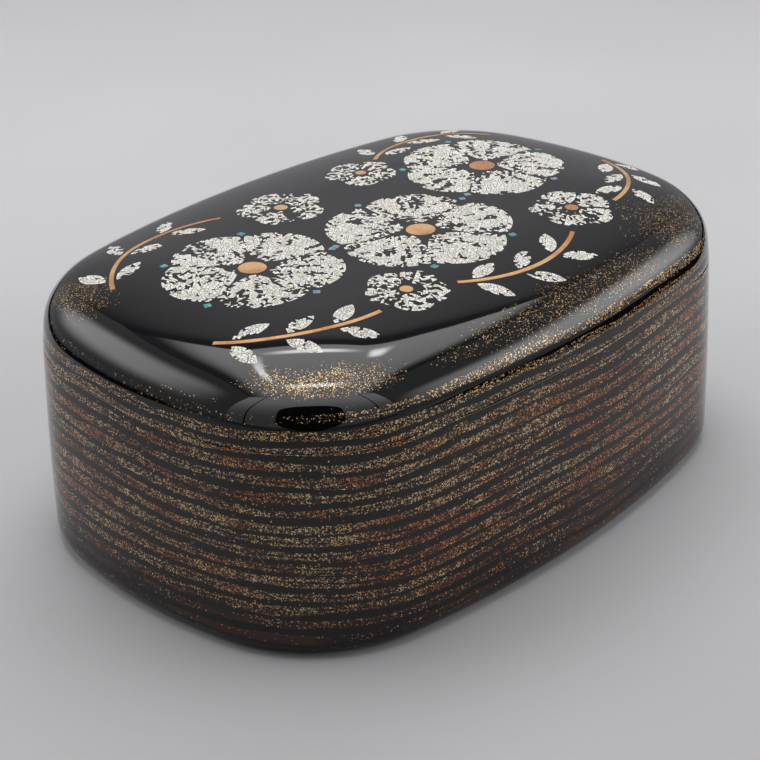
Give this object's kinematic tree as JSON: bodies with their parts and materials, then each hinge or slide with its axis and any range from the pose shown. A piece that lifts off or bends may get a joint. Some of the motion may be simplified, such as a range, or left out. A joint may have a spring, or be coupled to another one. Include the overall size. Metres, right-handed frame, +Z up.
{
  "type": "tea ceremony box",
  "caption": "Pillow-shaped lacquered wooden box for tea utensils, with a flush lid that lifts off an inner lip and a shallow tray that hangs on the lip.",
  "frame": {"origin": "centre of the flat underside", "axes": "+X along the length towards the right end, -Y towards the front, +Z up"},
  "size_m": [0.24, 0.172, 0.0949],
  "materials": {
    "striped_lacquer": "polished black lacquer over wood, with bands of gold powder",
    "black_lacquer": "polished black lacquer over wood",
    "inner_lacquer": "satin black lacquer over wood",
    "eggshell": "crushed eggshell mosaic set in lacquer, polished",
    "gold_lacquer": "burnished gold powder on lacquer",
    "shell": "iridescent shell, polished"
  },
  "bodies": {
    "box": {"base_board": "striped_lacquer", "left_wall": "striped_lacquer", "right_wall": "striped_lacquer", "front_wall": "striped_lacquer", "back_wall": "striped_lacquer", "corner_post_front_left": "striped_lacquer", "corner_post_front_right": "striped_lacquer", "corner_post_back_left": "striped_lacquer", "corner_post_back_right": "striped_lacquer", "lip_hoop": "inner_lacquer"},
    "lid": {"lid_left_rail": "black_lacquer", "lid_right_rail": "black_lacquer", "lid_front_rail": "black_lacquer", "lid_back_rail": "black_lacquer", "lid_corner_front_left": "black_lacquer", "lid_corner_front_right": "black_lacquer", "lid_corner_back_left": "black_lacquer", "lid_corner_back_right": "black_lacquer", "lid_panel": "black_lacquer", "left_flower_inlay": "eggshell", "middle_flower_inlay": "eggshell", "right_flower_inlay": "eggshell", "small_flower_inlays": "eggshell", "flower_heart_inlays": "gold_lacquer", "stem_inlays": "gold_lacquer", "leaf_inlays": "eggshell", "shell_fleck_inlays": "shell"},
    "tray": {"tray_base": "inner_lacquer", "tray_hoop": "inner_lacquer", "tray_rim": "inner_lacquer"}
  },
  "joints": [
    {"name": "lid_lift", "type": "slide", "parent": "box", "child": "lid", "axis": [0, 0, 1], "range_m": [0, 0.12]},
    {"name": "tray_lift", "type": "slide", "parent": "box", "child": "tray", "axis": [0, 0, 1], "range_m": [0, 0.06]}
  ],
  "couplings": [
    {"joint": "tray_lift", "follows": "lid_lift", "ratio": 0.5}
  ]
}
